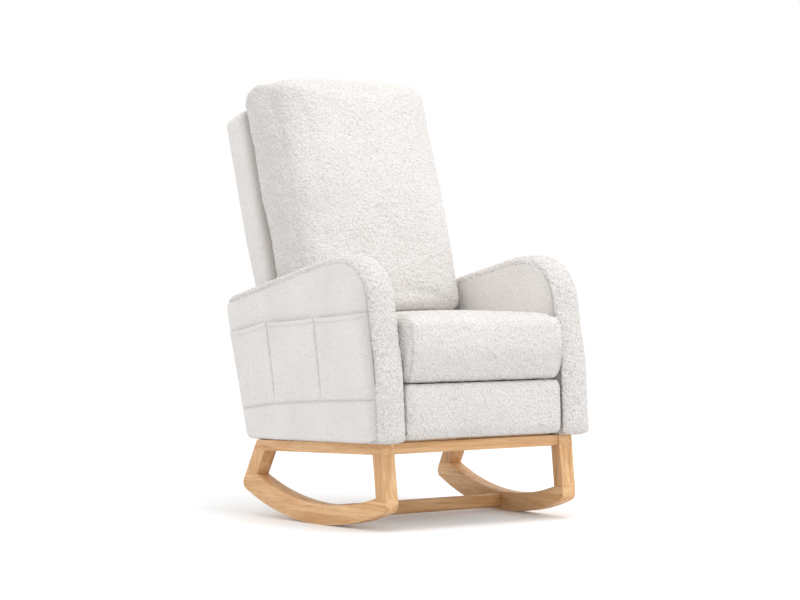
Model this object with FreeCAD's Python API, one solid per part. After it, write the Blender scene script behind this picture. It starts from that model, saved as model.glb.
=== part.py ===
import FreeCAD, Part
import math
import os
from FreeCAD import Vector

os.makedirs("parts", exist_ok=True)

# The chair is drawn level, in millimetres: front faces -Y, +Z is up, X = 0 is the middle plane,
# Y = 0 is the top front corner of the rocker base. At the end it is leaned back onto its runners.

# Stance on the floor
rest_lean = 1.87            # degrees that the whole chair leans back where it stands

# Wooden rocker base
base_half_width = 285.0     # outer face of a side frame at its front corner
frame_toe = 3.7             # degrees that each side frame opens out to the rear
wood_thickness = 38.0
base_top = 203.0
top_rail_length = 480.0
top_rail_height = 26.0
front_leg_lean = 5.2
front_leg_width = 35.0
rear_leg_lean = 30.9
rear_leg_width = 46.0       # measured level
front_joint_rise = 29.1     # leg seat above the runner's toe
rear_joint_rise = 28.1      # leg seat above the runner's heel
runner_radius = 680.0
runner_middle_share = 0.4583  # place of the runner's arc centre along the top rail
runner_bottom = 6.7
runner_depth = 47.5
runner_toe_round = 24.0
runner_heel_round = 18.0
cross_rail_depth = 32.0
cross_rail_set_in = 5.0
cross_rail_bevel = 5.0
stretcher_front = 249.0
stretcher_depth = 24.0
stretcher_height = 33.0
stretcher_rise = 9.0        # underside above the runner's lowest edge
dowel_radius = 5.0
dowel_length = 48.0
dowel_pitch = 15.0
leg_dowel_length = 39.0

# Arms
arm_overhang = 31.0         # outer side of an arm beyond the base's front corner
arm_width = 80.0
arm_front = -43.0
arm_belly_height = 167.0
arm_belly_set_back = 2.0
arm_height = 437.0          # front top corner above the base
arm_front_set_back = 47.0
arm_peak_length = 203.0
arm_peak_rise = 3.0
arm_top_rear = 626.0
arm_rear_height = 353.0
arm_bottom_rear = 531.0
arm_front_round = 115.0
arm_rear_round = 40.0
arm_slow_round = 300.0      # where the outline only bends
arm_edge_round = 15.0
arm_toe_round = 16.0
arm_heel_round = 30.0
arm_padding = 14.0
arm_side_padding = 9.0
arm_frame_member = 40.0
arm_frame_thickness = 32.0

# Pockets on the right arm
pocket_gap = 9.0
pocket_cloth = 3.0
pocket_front_top = (22.0, 303.0)      # Y, and height above the base
pocket_front_bottom = (-20.0, 101.0)
pocket_rear_bottom = (536.0, 76.0)
pocket_rear_top = (586.0, 263.0)
pocket_seam_tops = ((216.0, 294.0), (420.0, 287.0))
pocket_seam_bottoms = ((190.0, 97.0), (388.0, 89.0))

# Seat
seat_rail_width = 27.0
seat_rail_top = 340.0
seat_rail_height = 100.0
seat_rail_front = 34.0
seat_rail_rear = 432.0
cross_member_depth = 22.0
cross_member_height = 60.0
angle_flange = 30.0
deck_front = 30.0
deck_length = 100.0
deck_thickness = 12.0
spring_count = 5
spring_wire = 1.9
spring_half_width = 24.0
spring_turn = 11.0
spring_pitch = 76.0
cushion_gap = 0.3
seat_side_gap = 3.0         # to each arm
seat_front = -46.0
seat_rear = 428.0
seat_thickness = 150.0
seat_crown = 13.0
seat_bulge = 9.0
seat_corner = 27.0
seat_edge = 16.0            # rounding at the two ends
seat_base_set_back = 14.0
seat_rear_drop = 8.0
seat_peak = 0.4             # share of the depth where the crown is highest

# Back
back_pivot_y = 466.0
back_pivot_z = 258.0
back_lean = 15.5
back_side_gap = 8.0
shell_side_gap = 7.0
shell_front = -35.0
shell_depth = 98.0
shell_bottom = 28.0
shell_top = 800.0
shell_wall = 4.0
shell_round = 20.0
stile_width = 20.0
stile_depth = 26.0
ladder_rail_height = 36.0
ladder_rail_count = 3
ladder_end_gap = 6.0
rung_depth = 16.0
back_cushion_depth = 181.0
back_cushion_bottom = 200.0
back_cushion_rise = 17.0    # above the shell
back_cushion_crown = 13.0
back_cushion_top_crown = 19.0
back_cushion_corner = 39.0
back_cushion_edge = 48.0    # rounding at the two ends
back_cushion_rear_edge = 9.0
back_cushion_top_edge = 20.0
back_cushion_rear_drop = 5.0
back_cushion_border = 8.0
back_cushion_front_foam = 9.0

# Steel plates, links and pins
plate = 5.0
plate_gap = 2.5
pin_radius = 4.0
hinge_pin_radius = 6.0
pin_head = 1.5
pin_head_radius = 6.0
running_fit = 0.05
fixed_fit = 0.02
open_fit = 0.4              # at the pivot where the scissor is opened
slot_fit = 0.25
axial_play = 0.15
hinge_plate_radius = 17.0
hinge_plate_length = 87.0
hinge_plate_slope = 21.6
upper_plate_length = 150.0
upper_plate_radius = 15.0
plate_corner = 6.0

# Footrest
link_length = 100.0
link_half_width = 7.5
link_rest_angle = 10.0
link_open_angle = 78.0
link_pivot_y = 75.0
link_pivot_z = 314.0
swing_bar_radius = 10.0
slot_plate_front = 63.0
slot_plate_width = 24.0
slot_plate_shoulder = 150.0
slot_plate_bottom = 205.0
footrest_side_gap = 3.0
footrest_front = -31.0
footrest_rear = 24.0
footrest_bottom = 211.0
footrest_top = 336.0
footrest_crown = 6.0
footrest_corner = 14.0
footrest_edge = 12.0        # rounding at the two ends
board_thickness = 12.0
board_margin = 9.0
bracket_flange = 30.0
bracket_drop = 74.0
bracket_corner = 4.0
footrest_bar_radius = 8.0
footrest_bar_drop = 18.0    # below the brackets' pivot

# Bolts
bolt_radius = 4.0
bolt_head_radius = 7.5
bolt_head = 4.0
arm_bolt_front = 60.0
arm_bolt_rear = 50.0        # before the end of the top rail
arm_bolt_length = 67.0
arm_bolt_recess = 5.0       # for the head, under the top rail
seat_bolt_places = (170.0, 330.0)
seat_bolt_drop = 92.0       # below the top of the seat rail
seat_bolt_bite = 24.0       # into the arm's frame


def rounded_wire(corners, rounds, place):
    """A closed outline of lines and arcs, with each corner rounded to its own radius."""
    count = len(corners)
    starts = []
    middles = []
    ends = []
    for i in range(count):
        here = Vector(corners[i][0], corners[i][1], 0)
        before = Vector(corners[i - 1][0], corners[i - 1][1], 0)
        after = Vector(corners[(i + 1) % count][0], corners[(i + 1) % count][1], 0)
        back = (before - here).normalize()
        on = (after - here).normalize()
        half = back.getAngle(on) / 2
        reach = rounds[i] / math.tan(half)
        bisector = (back + on).normalize()
        starts.append(here + back * reach)
        ends.append(here + on * reach)
        middles.append(here + bisector * (rounds[i] / math.sin(half) - rounds[i]))
    edges = []
    for i in range(count):
        a = place(starts[i].x, starts[i].y)
        m = place(middles[i].x, middles[i].y)
        b = place(ends[i].x, ends[i].y)
        c = place(starts[(i + 1) % count].x, starts[(i + 1) % count].y)
        if rounds[i] > 0:
            edges.append(Part.Arc(a, m, b).toShape())
        edges.append(Part.makeLine(b, c))
    return Part.Wire(edges)


def side_prism(corners, rounds, x0, x1):
    """A side-view outline in Y and Z, made x0 to x1 wide."""
    wire = rounded_wire(corners, rounds, lambda a, b: Vector(x0, a, b))
    return Part.Face(wire).extrude(Vector(x1 - x0, 0, 0))


def box(x0, x1, y0, y1, z0, z1):
    return Part.makeBox(x1 - x0, y1 - y0, z1 - z0, Vector(x0, y0, z0))


def rod(radius, x0, x1, y, z):
    return Part.makeCylinder(radius, x1 - x0, Vector(x0, y, z), Vector(1, 0, 0))


def upright(radius, length, low):
    return Part.makeCylinder(radius, length, low, Vector(0, 0, 1))


def mirrored(shape):
    return shape.mirror(Vector(0, 0, 0), Vector(1, 0, 0))


def both_sides(shape):
    return [shape, mirrored(shape)]


def cut_all(shape, tools):
    for tool in tools:
        shape = shape.cut(tool)
    return shape


def bar_plate(ends, radius, x0, x1):
    """A flat link with round ends between two points in Y and Z."""
    (ya, za), (yb, zb) = ends
    length = math.hypot(yb - ya, zb - za)
    side = Vector(0, -(zb - za) / length, (yb - ya) / length) * radius
    along = Vector(0, (yb - ya) / length, (zb - za) / length) * radius
    a = Vector(x0, ya, za)
    b = Vector(x0, yb, zb)
    edges = [
        Part.makeLine(a + side, b + side),
        Part.Arc(b + side, b + along, b - side).toShape(),
        Part.makeLine(b - side, a - side),
        Part.Arc(a - side, a - along, a + side).toShape(),
    ]
    return Part.Face(Part.Wire(edges)).extrude(Vector(x1 - x0, 0, 0))


def pin(y, z, x_in, x_out, collar_in, collar_out, radius=pin_radius, head_in=True, head_out=True):
    """A riveted pivot along X with a spacing collar between its two plates."""
    shape = rod(radius, x_in, x_out, y, z)
    shape = shape.fuse(rod(radius + pin_head_radius - pin_radius, collar_in, collar_out, y, z))
    if head_in:
        shape = shape.fuse(rod(radius + pin_head_radius - pin_radius, x_in - pin_head, x_in, y, z))
    if head_out:
        shape = shape.fuse(rod(radius + pin_head_radius - pin_radius, x_out, x_out + pin_head, y, z))
    return shape.removeSplitter()


def cushion(profile, stations):
    """A closed soft form lofted along X through the side outlines at its stations."""
    wires = [profile(x, inset) for x, inset in stations]
    return Part.makeLoft(wires, True, True)


def soft_stations(half, edge):
    """Stations across a cushion: drawn in and rounded at both ends, crowned in between."""
    near = []
    for turn in (0.0, 25.0, 50.0, 75.0, 90.0):
        away = math.radians(turn)
        near.append((half - edge * (1 - math.cos(away)), edge * (1 - math.sin(away))))
    for share in (0.66, 0.33):
        near.append((half * share, 0.0))
    return [(-x, i) for x, i in near] + [(0.0, 0.0)] + [(x, i) for x, i in reversed(near)]


def crown_share(x, half):
    return 1.0 - (x / half) ** 2


nodes = {}

# Side frames of the rocker base
toe_point = Vector(base_half_width, 0, 0)
frame_inner = base_half_width - wood_thickness
rail_bottom = base_top - top_rail_height
front_slope = math.tan(math.radians(front_leg_lean))
rear_slope = math.tan(math.radians(rear_leg_lean))
runner_centre_z = runner_bottom + runner_radius
runner_middle = top_rail_length * runner_middle_share


def front_edge(z):
    return -(base_top - z) * front_slope


def rear_edge(z):
    return top_rail_length + (base_top - z) * rear_slope


def runner_under(y):
    return runner_centre_z - math.sqrt(runner_radius ** 2 - (y - runner_middle) ** 2)


def toed(shape):
    shape.rotate(toe_point, Vector(0, 0, 1), -frame_toe)
    return shape


def meet(edge_line, start):
    """Height where a leg's edge line runs into the underside of the runner."""
    z = start
    for _ in range(60):
        z = runner_under(edge_line(z))
    return z


toe_z = meet(front_edge, runner_under(0.0))
heel_z = meet(rear_edge, runner_under(top_rail_length))
toe_y = front_edge(toe_z)
heel_y = rear_edge(heel_z)
front_joint_height = toe_z + front_joint_rise
rear_joint_height = heel_z + rear_joint_rise

top_rail = side_prism(
    [(front_edge(base_top), base_top), (rear_edge(base_top), base_top),
     (rear_edge(rail_bottom), rail_bottom), (front_edge(rail_bottom), rail_bottom)],
    [0, 0, 0, 0], frame_inner, base_half_width)
front_leg = side_prism(
    [(front_edge(rail_bottom), rail_bottom), (front_edge(rail_bottom) + front_leg_width, rail_bottom),
     (front_edge(front_joint_height) + front_leg_width, front_joint_height),
     (front_edge(front_joint_height), front_joint_height)],
    [0, 0, 0, 0], frame_inner, base_half_width)
rear_leg = side_prism(
    [(rear_edge(rail_bottom) - rear_leg_width, rail_bottom), (rear_edge(rail_bottom), rail_bottom),
     (rear_edge(rear_joint_height), rear_joint_height),
     (rear_edge(rear_joint_height) - rear_leg_width, rear_joint_height)],
    [0, 0, 0, 0], frame_inner, base_half_width)

# Curved runner: underside arc, upper arc, level seats for the two legs
front_seat_y = front_edge(front_joint_height) + front_leg_width
rear_seat_y = rear_edge(rear_joint_height) - rear_leg_width
runner_outline = [
    Vector(frame_inner, toe_y, toe_z),
    Vector(frame_inner, heel_y, heel_z),
    Vector(frame_inner, rear_edge(rear_joint_height), rear_joint_height),
    Vector(frame_inner, rear_seat_y, rear_joint_height),
    Vector(frame_inner, front_seat_y, front_joint_height),
    Vector(frame_inner, front_edge(front_joint_height), front_joint_height),
]
under_mid = Vector(frame_inner, runner_middle, runner_bottom)
over_mid = Vector(frame_inner, runner_middle, runner_bottom + runner_depth)
runner_edges = [Part.Arc(runner_outline[0], under_mid, runner_outline[1]).toShape()]
for i in range(1, len(runner_outline)):
    start = runner_outline[i]
    end = runner_outline[(i + 1) % len(runner_outline)]
    if i == 3:
        runner_edges.append(Part.Arc(start, over_mid, end).toShape())
    elif start.distanceToPoint(end) > 1e-6:
        runner_edges.append(Part.makeLine(start, end))
runner = Part.Face(Part.Wire(runner_edges)).extrude(Vector(wood_thickness, 0, 0))


def edge_at(shape, y, z):
    """The straight edges along X at a place in the side view."""
    found = []
    for e in shape.Edges:
        middle = e.CenterOfMass
        if e.BoundBox.XLength > wood_thickness * 0.9 and math.hypot(middle.y - y, middle.z - z) < 0.01:
            found.append(e)
    return found


runner = runner.makeFillet(runner_toe_round, edge_at(runner, toe_y, toe_z))
runner = runner.makeFillet(runner_heel_round, edge_at(runner, heel_y, heel_z))

side_frame = {
    "top_rail": toed(top_rail),
    "front_leg": toed(front_leg),
    "rear_leg": toed(rear_leg),
    "runner": toed(runner),
}

# Cross rails and stretcher, cut to the inner faces of the side frames
frame_side = toed(box(frame_inner, base_half_width * 2, -top_rail_length, top_rail_length * 2,
                      0, base_top * 2))


def cross_rail(y0, depth, z0, z1, bevel):
    shape = side_prism(
        [(y0, z1), (y0 + depth, z1), (y0 + depth, z0), (y0 + bevel, z0), (y0, z0 + bevel)],
        [0, 0, 0, 0, 0], -base_half_width * 2, base_half_width * 2)
    return cut_all(shape, both_sides(frame_side))


front_rail = cross_rail(cross_rail_set_in, cross_rail_depth, rail_bottom, base_top, cross_rail_bevel)
rear_rail_front = top_rail_length - cross_rail_set_in - cross_rail_depth
rear_rail = cross_rail(rear_rail_front, cross_rail_depth, rail_bottom, base_top, cross_rail_bevel)
stretcher_bottom = runner_bottom + stretcher_rise
stretcher = cross_rail(stretcher_front, stretcher_depth, stretcher_bottom,
                       stretcher_bottom + stretcher_height, cross_rail_bevel)

# Dowels of the base, each half in both pieces that it joins
toe_slope = math.tan(math.radians(frame_toe))


def frame_x(y):
    """Middle of a side frame's thickness at a place along it."""
    return base_half_width - wood_thickness / 2 + y * toe_slope


def level_dowel(y, z):
    joint = frame_x(y) - wood_thickness / 2
    return rod(dowel_radius, joint - dowel_length / 2, joint + dowel_length / 2, y, z)


rail_middle_z = (rail_bottom + base_top) / 2
dowels = []
for rail_y in (cross_rail_set_in, rear_rail_front):
    for step in (-0.5, 0.5):
        dowels.append(level_dowel(rail_y + cross_rail_depth / 2 + step * dowel_pitch, rail_middle_z))
dowels.append(level_dowel(stretcher_front + stretcher_depth / 2, stretcher_bottom + stretcher_height / 2))
leg_dowels = []
for edge_line, joint, into_leg in (
        (front_edge, rail_bottom, front_leg_width / 2),
        (front_edge, front_joint_height, front_leg_width / 2),
        (rear_edge, rail_bottom, -rear_leg_width / 2),
        (rear_edge, rear_joint_height, -rear_leg_width / 2)):
    y = edge_line(joint) + into_leg
    low = Vector(frame_x(y), y, joint - leg_dowel_length / 2)
    leg_dowels.append(upright(dowel_radius, leg_dowel_length, low))

# Arms: a padded cover round a wooden ring frame
arm_outer = base_half_width + arm_overhang
arm_inner = arm_outer - arm_width
arm_middle = arm_inner + arm_width / 2
arm_corners = [
    (arm_front, base_top),
    (arm_bottom_rear, base_top),
    (arm_top_rear, base_top + arm_rear_height),
    (arm_front + arm_peak_length, base_top + arm_height + arm_peak_rise),
    (arm_front + arm_front_set_back, base_top + arm_height),
    (arm_front + arm_belly_set_back, base_top + arm_belly_height),
]
arm_rounds = [arm_toe_round, arm_heel_round, arm_rear_round, arm_slow_round, arm_front_round,
              arm_slow_round]


def arm_outline(inset, x):
    wire = rounded_wire(arm_corners, arm_rounds, lambda a, b: Vector(x, a, b))
    if inset == 0:
        return wire
    return wire.makeOffset2D(-inset)


def filled(wire, width):
    return Part.Face(wire).extrude(Vector(width, 0, 0))


arm_solid = filled(arm_outline(0, arm_inner), arm_width)
long_edges = []
for e in arm_solid.Edges:
    flat = e.BoundBox.XLength < 0.01
    on_bottom = e.BoundBox.ZMax < base_top + 0.01
    if flat and not on_bottom:
        long_edges.append(e)
arm_solid = arm_solid.makeFillet(arm_edge_round, long_edges)
hollow_width = arm_width - 2 * arm_side_padding
arm_hollow = filled(arm_outline(arm_padding, arm_inner + arm_side_padding), hollow_width)
arm_pad = arm_solid.cut(arm_hollow)
ring_x = arm_middle - arm_frame_thickness / 2
arm_frame = filled(arm_outline(arm_padding, ring_x), arm_frame_thickness).cut(
    filled(arm_outline(arm_padding + arm_frame_member, ring_x), arm_frame_thickness))

# Bolts from the base up into the arms, and from the seat rails into the arms
arm_bolts = []
arm_bolt_holes = []
arm_bolt_recesses = []
arm_bolt_last = top_rail_length - arm_bolt_rear
for y in (arm_bolt_front, (arm_bolt_front + arm_bolt_last) / 2, arm_bolt_last):
    x = (arm_middle + frame_x(y)) / 2
    low = Vector(x, y, rail_bottom)
    bearing = low + Vector(0, 0, arm_bolt_recess)
    head = upright(bolt_head_radius, bolt_head, bearing - Vector(0, 0, bolt_head))
    arm_bolts.append(upright(bolt_radius, arm_bolt_length, bearing).fuse(head))
    arm_bolt_holes.append(upright(bolt_radius + fixed_fit, arm_bolt_length + fixed_fit, bearing))
    arm_bolt_recesses.append(upright(bolt_head_radius + fixed_fit, arm_bolt_recess, low))
seat_rail_inner = arm_inner - seat_rail_width
seat_bolts = []
seat_bolt_holes = []
seat_bolt_end = ring_x + seat_bolt_bite
for y in seat_bolt_places:
    z = seat_rail_top - seat_bolt_drop
    seat_bolts.append(rod(bolt_radius, seat_rail_inner, seat_bolt_end, y, z).fuse(
        rod(bolt_head_radius, seat_rail_inner - bolt_head, seat_rail_inner, y, z)))
    seat_bolt_holes.append(rod(bolt_radius + fixed_fit, seat_rail_inner, seat_bolt_end + fixed_fit, y, z))
arm_frame = cut_all(arm_frame, arm_bolt_holes + seat_bolt_holes)
arm_pad = cut_all(arm_pad, arm_bolt_holes + seat_bolt_holes)
side_frame["top_rail"] = cut_all(side_frame["top_rail"], arm_bolt_holes + arm_bolt_recesses)

for name, shape in side_frame.items():
    side_frame[name] = cut_all(shape, dowels + leg_dowels)
front_rail = cut_all(front_rail, dowels + [mirrored(d) for d in dowels])
rear_rail = cut_all(rear_rail, dowels + [mirrored(d) for d in dowels])
stretcher = cut_all(stretcher, dowels + [mirrored(d) for d in dowels])
for name, shape in side_frame.items():
    nodes["left_" + name] = [shape]
    nodes["right_" + name] = [mirrored(shape)]
nodes["front_rail"] = [front_rail]
nodes["rear_rail"] = [rear_rail]
nodes["stretcher"] = [stretcher]
nodes["frame_dowels"] = [s for d in dowels + leg_dowels for s in both_sides(d)]
nodes["arm_bolts"] = [s for b in arm_bolts for s in both_sides(b)]
nodes["left_arm_frame"] = [arm_frame]
nodes["right_arm_frame"] = [mirrored(arm_frame)]
nodes["left_arm_pad"] = [arm_pad]
nodes["right_arm_pad"] = [mirrored(arm_pad)]

# Row of three pockets on the outer side of the right arm
cloth_outer = arm_outer + pocket_gap + pocket_cloth


def above_base(point):
    return (point[0], base_top + point[1])


seam_tops = [pocket_front_top, *pocket_seam_tops, pocket_rear_top]
seam_bottoms = [pocket_front_bottom, *pocket_seam_bottoms, pocket_rear_bottom]
pocket_corners = [above_base(p) for p in seam_bottoms + seam_tops[::-1]]
pocket_panel = side_prism(pocket_corners, [0] * len(pocket_corners), arm_outer, cloth_outer)
for i in range(len(seam_tops) - 1):
    overshoot = pocket_gap * 2
    corners = [
        (seam_bottoms[i][0] + pocket_cloth, seam_bottoms[i][1] + pocket_cloth),
        (seam_bottoms[i + 1][0] - pocket_cloth, seam_bottoms[i + 1][1] + pocket_cloth),
        (seam_tops[i + 1][0] - pocket_cloth, seam_tops[i + 1][1]),
        (seam_tops[i + 1][0] - pocket_cloth, seam_tops[i + 1][1] + overshoot),
        (seam_tops[i][0] + pocket_cloth, seam_tops[i][1] + overshoot),
        (seam_tops[i][0] + pocket_cloth, seam_tops[i][1]),
    ]
    corners = [above_base(p) for p in corners]
    space = side_prism(corners, [0] * len(corners), arm_outer, arm_outer + pocket_gap)
    pocket_panel = pocket_panel.cut(space)
nodes["side_pockets"] = [mirrored(pocket_panel)]

# Seat frame, deck board and zigzag springs
rail_low = seat_rail_top - seat_rail_height
seat_rail = box(seat_rail_inner, arm_inner, seat_rail_front, seat_rail_rear, rail_low, seat_rail_top)
seat_rail = cut_all(seat_rail, seat_bolt_holes)
nodes["seat_side_rails"] = both_sides(seat_rail)
deck_bottom = seat_rail_top - deck_thickness
front_member_y = deck_front + deck_length - cross_member_depth
rear_member_y = seat_rail_rear - cross_member_depth
member_low = deck_bottom - cross_member_height
rear_member = box(-seat_rail_inner, seat_rail_inner, rear_member_y, seat_rail_rear,
                  member_low, deck_bottom)
front_angle = box(-seat_rail_inner, seat_rail_inner, front_member_y, front_member_y + plate, member_low,
                  deck_bottom)
front_angle = front_angle.fuse(box(-seat_rail_inner, seat_rail_inner, front_member_y,
                                   front_member_y + angle_flange, deck_bottom - plate, deck_bottom))
deck_rear = deck_front + deck_length - cross_member_depth / 2
nodes["seat_deck"] = [
    box(-seat_rail_inner, seat_rail_inner, deck_front, deck_rear, deck_bottom, seat_rail_top)]
nodes["seat_bolts"] = [s for b in seat_bolts for s in both_sides(b)]


def zigzag(x):
    """One flat spring of straight runs across, joined by half turns, from rail to rail."""
    z = deck_bottom + spring_wire + cushion_gap
    first = front_member_y + cross_member_depth - spring_turn / 2
    last = rear_member_y + spring_turn / 2
    runs = int((last - first) / (2 * spring_turn))
    turn = (last - first) / runs / 2
    edges = []
    side = 1
    reach = spring_half_width - turn
    for i in range(runs + 1):
        y = first + i * 2 * turn
        edges.append(Part.makeLine(Vector(x - side * reach, y, z), Vector(x + side * reach, y, z)))
        if i < runs:
            a = Vector(x + side * reach, y, z)
            top = Vector(x + side * (reach + turn), y + turn, z)
            b = Vector(x + side * reach, y + 2 * turn, z)
            slant = turn * math.sqrt(0.5)
            out = x + side * (reach + slant)
            edges.append(Part.Arc(a, Vector(out, y + turn - slant, z), top).toShape())
            edges.append(Part.Arc(top, Vector(out, y + turn + slant, z), b).toShape())
        side = -side
    path = Part.Wire(edges)
    ring = Part.Wire([Part.makeCircle(spring_wire, Vector(x - reach, first, z), Vector(1, 0, 0))])
    return path.makePipeShell([ring], True, False)


spring_shift = (spring_count - 1) / 2
nodes["seat_springs"] = [zigzag((i - spring_shift) * spring_pitch) for i in range(spring_count)]

# Seat cushion, crowned, with a bulging front and drawn-in sides
seat_low = seat_rail_top + cushion_gap
seat_half_width = arm_inner - seat_side_gap


def seat_profile(x, inset):
    share = crown_share(x, seat_half_width * 1.15)
    front = seat_front + inset
    rear = seat_rear - inset
    low = seat_low + inset * 0.25
    top = seat_low + seat_thickness - inset
    middle = (low + top) / 2
    peak = front + (rear - front) * seat_peak
    corners = [(front + seat_base_set_back, low), (rear, low), (rear, top - seat_rear_drop),
               (peak, top + seat_crown * share), (front, top), (front - seat_bulge * share - 1.0, middle)]
    rounds = [seat_corner, seat_corner * 0.5, seat_corner * 0.8, seat_thickness * 2.0, seat_corner,
              seat_thickness * 0.5]
    return rounded_wire(corners, rounds, lambda a, b: Vector(x, a, b))


nodes["seat_cushion"] = [cushion(seat_profile, soft_stations(seat_half_width, seat_edge))]

# Back, drawn upright about its hinge and then leaned and set on it


def on_hinge(shape):
    shape.rotate(Vector(0, 0, 0), Vector(1, 0, 0), -back_lean)
    shape.translate(Vector(0, back_pivot_y, back_pivot_z))
    return shape


back_half_width = arm_inner - back_side_gap
shell_half_width = arm_inner - shell_side_gap
shell_rear = shell_front + shell_depth
shell = box(-shell_half_width, shell_half_width, shell_front, shell_rear, shell_bottom, shell_top)


def rounded_behind(shape, radius):
    """Rounds every edge that isn't on the front face."""
    front = shape.BoundBox.YMin
    return shape.makeFillet(radius, [e for e in shape.Edges if e.BoundBox.YMax > front + 0.01])


shell = rounded_behind(shell, shell_round)
hollow = box(-shell_half_width + shell_wall, shell_half_width - shell_wall, shell_front + shell_wall,
             shell_rear - shell_wall, shell_bottom + shell_wall, shell_top - shell_wall)
hollow = rounded_behind(hollow, shell_round - shell_wall)
upper_out = seat_rail_inner - plate - plate_gap
upper_in = upper_out - plate
plate_slot = box(upper_in - plate_gap, upper_out + plate_gap, -upper_plate_radius - plate_gap,
                 upper_plate_radius + plate_gap, shell_bottom - shell_wall, shell_bottom + shell_wall * 2)
shell = cut_all(shell, [hollow] + both_sides(plate_slot))
nodes["back_shell"] = [on_hinge(shell)]

stile_front = shell_front + shell_wall
ladder_low = shell_bottom + shell_wall + ladder_end_gap
ladder_high = shell_top - shell_wall - ladder_end_gap
stile = box(upper_in - stile_width, upper_in, stile_front, stile_front + stile_depth,
            ladder_low, ladder_high)
rungs = []
for i in range(ladder_rail_count):
    z = ladder_low + (ladder_high - ladder_low - ladder_rail_height) * i / (ladder_rail_count - 1)
    rungs.append(box(stile_width - upper_in, upper_in - stile_width, stile_front, stile_front + rung_depth,
                     z, z + ladder_rail_height))
nodes["back_stiles"] = [on_hinge(s) for s in both_sides(stile)]
nodes["back_rungs"] = [on_hinge(s) for s in rungs]

upper_plate = bar_plate(((0.0, 0.0), (0.0, upper_plate_length)), upper_plate_radius, upper_in, upper_out)
upper_plate = upper_plate.cut(rod(hinge_pin_radius + running_fit, upper_in, upper_out, 0, 0))
nodes["back_hinge_arms"] = [on_hinge(s) for s in both_sides(upper_plate)]

# Back cushion: thick, higher than the shell, level underneath, crowned in front and on top
lean_slope = math.tan(math.radians(back_lean))
back_cushion_top = shell_top + back_cushion_rise
cushion_back = shell_front - cushion_gap
cushion_front = shell_front - back_cushion_depth


def back_profile(x, inset):
    share = crown_share(x, back_half_width * 1.1)
    rear = cushion_back - inset * back_cushion_rear_edge / back_cushion_edge
    front = cushion_front + inset
    low = back_cushion_bottom + inset
    low_rear = low + (rear - front) * lean_slope
    top = back_cushion_top - inset * back_cushion_top_edge / back_cushion_edge
    crown = back_cushion_crown * share
    rise = back_cushion_top_crown * share
    middle = (front + rear) / 2
    corners = [(front, low), (front - crown, (low + top) / 2), (front, top), (middle, top + rise),
               (rear, top - back_cushion_rear_drop), (rear, low_rear)]
    corner = back_cushion_corner * (1 - inset / (2 * back_cushion_edge))
    rounds = [corner * 0.8, back_cushion_top, corner, rear - front, corner * 0.8, corner * 0.4]
    return rounded_wire(corners, rounds, lambda a, b: Vector(x, a, b))


back_cushion = cushion(back_profile, soft_stations(back_half_width, back_cushion_edge))
core_half = back_half_width - back_cushion_border
corner_room = back_cushion_border * 2
core_low = back_cushion_bottom + back_cushion_border + back_cushion_depth * lean_slope
core_front = cushion_front + back_cushion_front_foam
core_top = shell_top - back_cushion_border
core = box(-core_half, core_half, core_front, cushion_back, core_low, core_top)
core_edges = [e for e in core.Edges if e.BoundBox.YMax < core_front + 0.01 and e.BoundBox.XLength < 0.01]
core = core.makeFillet(back_cushion_edge - back_cushion_border, core_edges)
crest_half = core_half - corner_room
crest = box(-crest_half, crest_half, core_front + corner_room, cushion_back - corner_room,
            core_top, back_cushion_top - back_cushion_border)
back_cushion = cut_all(back_cushion, [core, crest])
nodes["back_cushion"] = [on_hinge(back_cushion)]

# Hinge plates on the seat rails, and their pins
hinge_out = seat_rail_inner
hinge_in = hinge_out - plate
back_pivot = (back_pivot_y, back_pivot_z)
plate_slope = math.radians(hinge_plate_slope)
plate_end = (back_pivot_y - hinge_plate_length * math.cos(plate_slope),
             back_pivot_z + hinge_plate_length * math.sin(plate_slope))
hinge_plate = bar_plate((back_pivot, plate_end), hinge_plate_radius, hinge_in, hinge_out)
hinge_plate = hinge_plate.cut(rod(hinge_pin_radius + fixed_fit, hinge_in, hinge_out, *back_pivot))
nodes["back_hinge_plates"] = both_sides(hinge_plate)
hinge_pin = pin(*back_pivot, upper_in - axial_play, hinge_out, upper_out + axial_play, hinge_in,
                hinge_pin_radius)
nodes["back_hinge_pins"] = both_sides(hinge_pin)

# Scissor links of the footrest, in layers from the seat rail inwards
layer = [(seat_rail_inner - plate - i * (plate + plate_gap), seat_rail_inner - i * (plate + plate_gap))
         for i in range(5)]
rest = math.radians(link_rest_angle)
half_link = link_length / 2
pivot_a = (link_pivot_y, link_pivot_z)


def step(point, along, upward):
    """A point one link share further: links lean forward by the rest angle, up or down."""
    return (point[0] - along * math.sin(rest), point[1] + upward * along * math.cos(rest))


pivot_m = step(pivot_a, half_link, -1)
pivot_c = step(pivot_a, link_length, -1)
pivot_d = step(pivot_m, half_link, 1)
pivot_b = (link_pivot_y, link_pivot_z - link_length * math.cos(rest))
pivot_n = step(pivot_c, half_link, 1)
pivot_e = step(pivot_c, link_length, 1)


def drilled(shape, holes, where):
    for point, radius in holes:
        shape = shape.cut(rod(radius, where[0], where[1], point[0], point[1]))
    return shape


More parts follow.
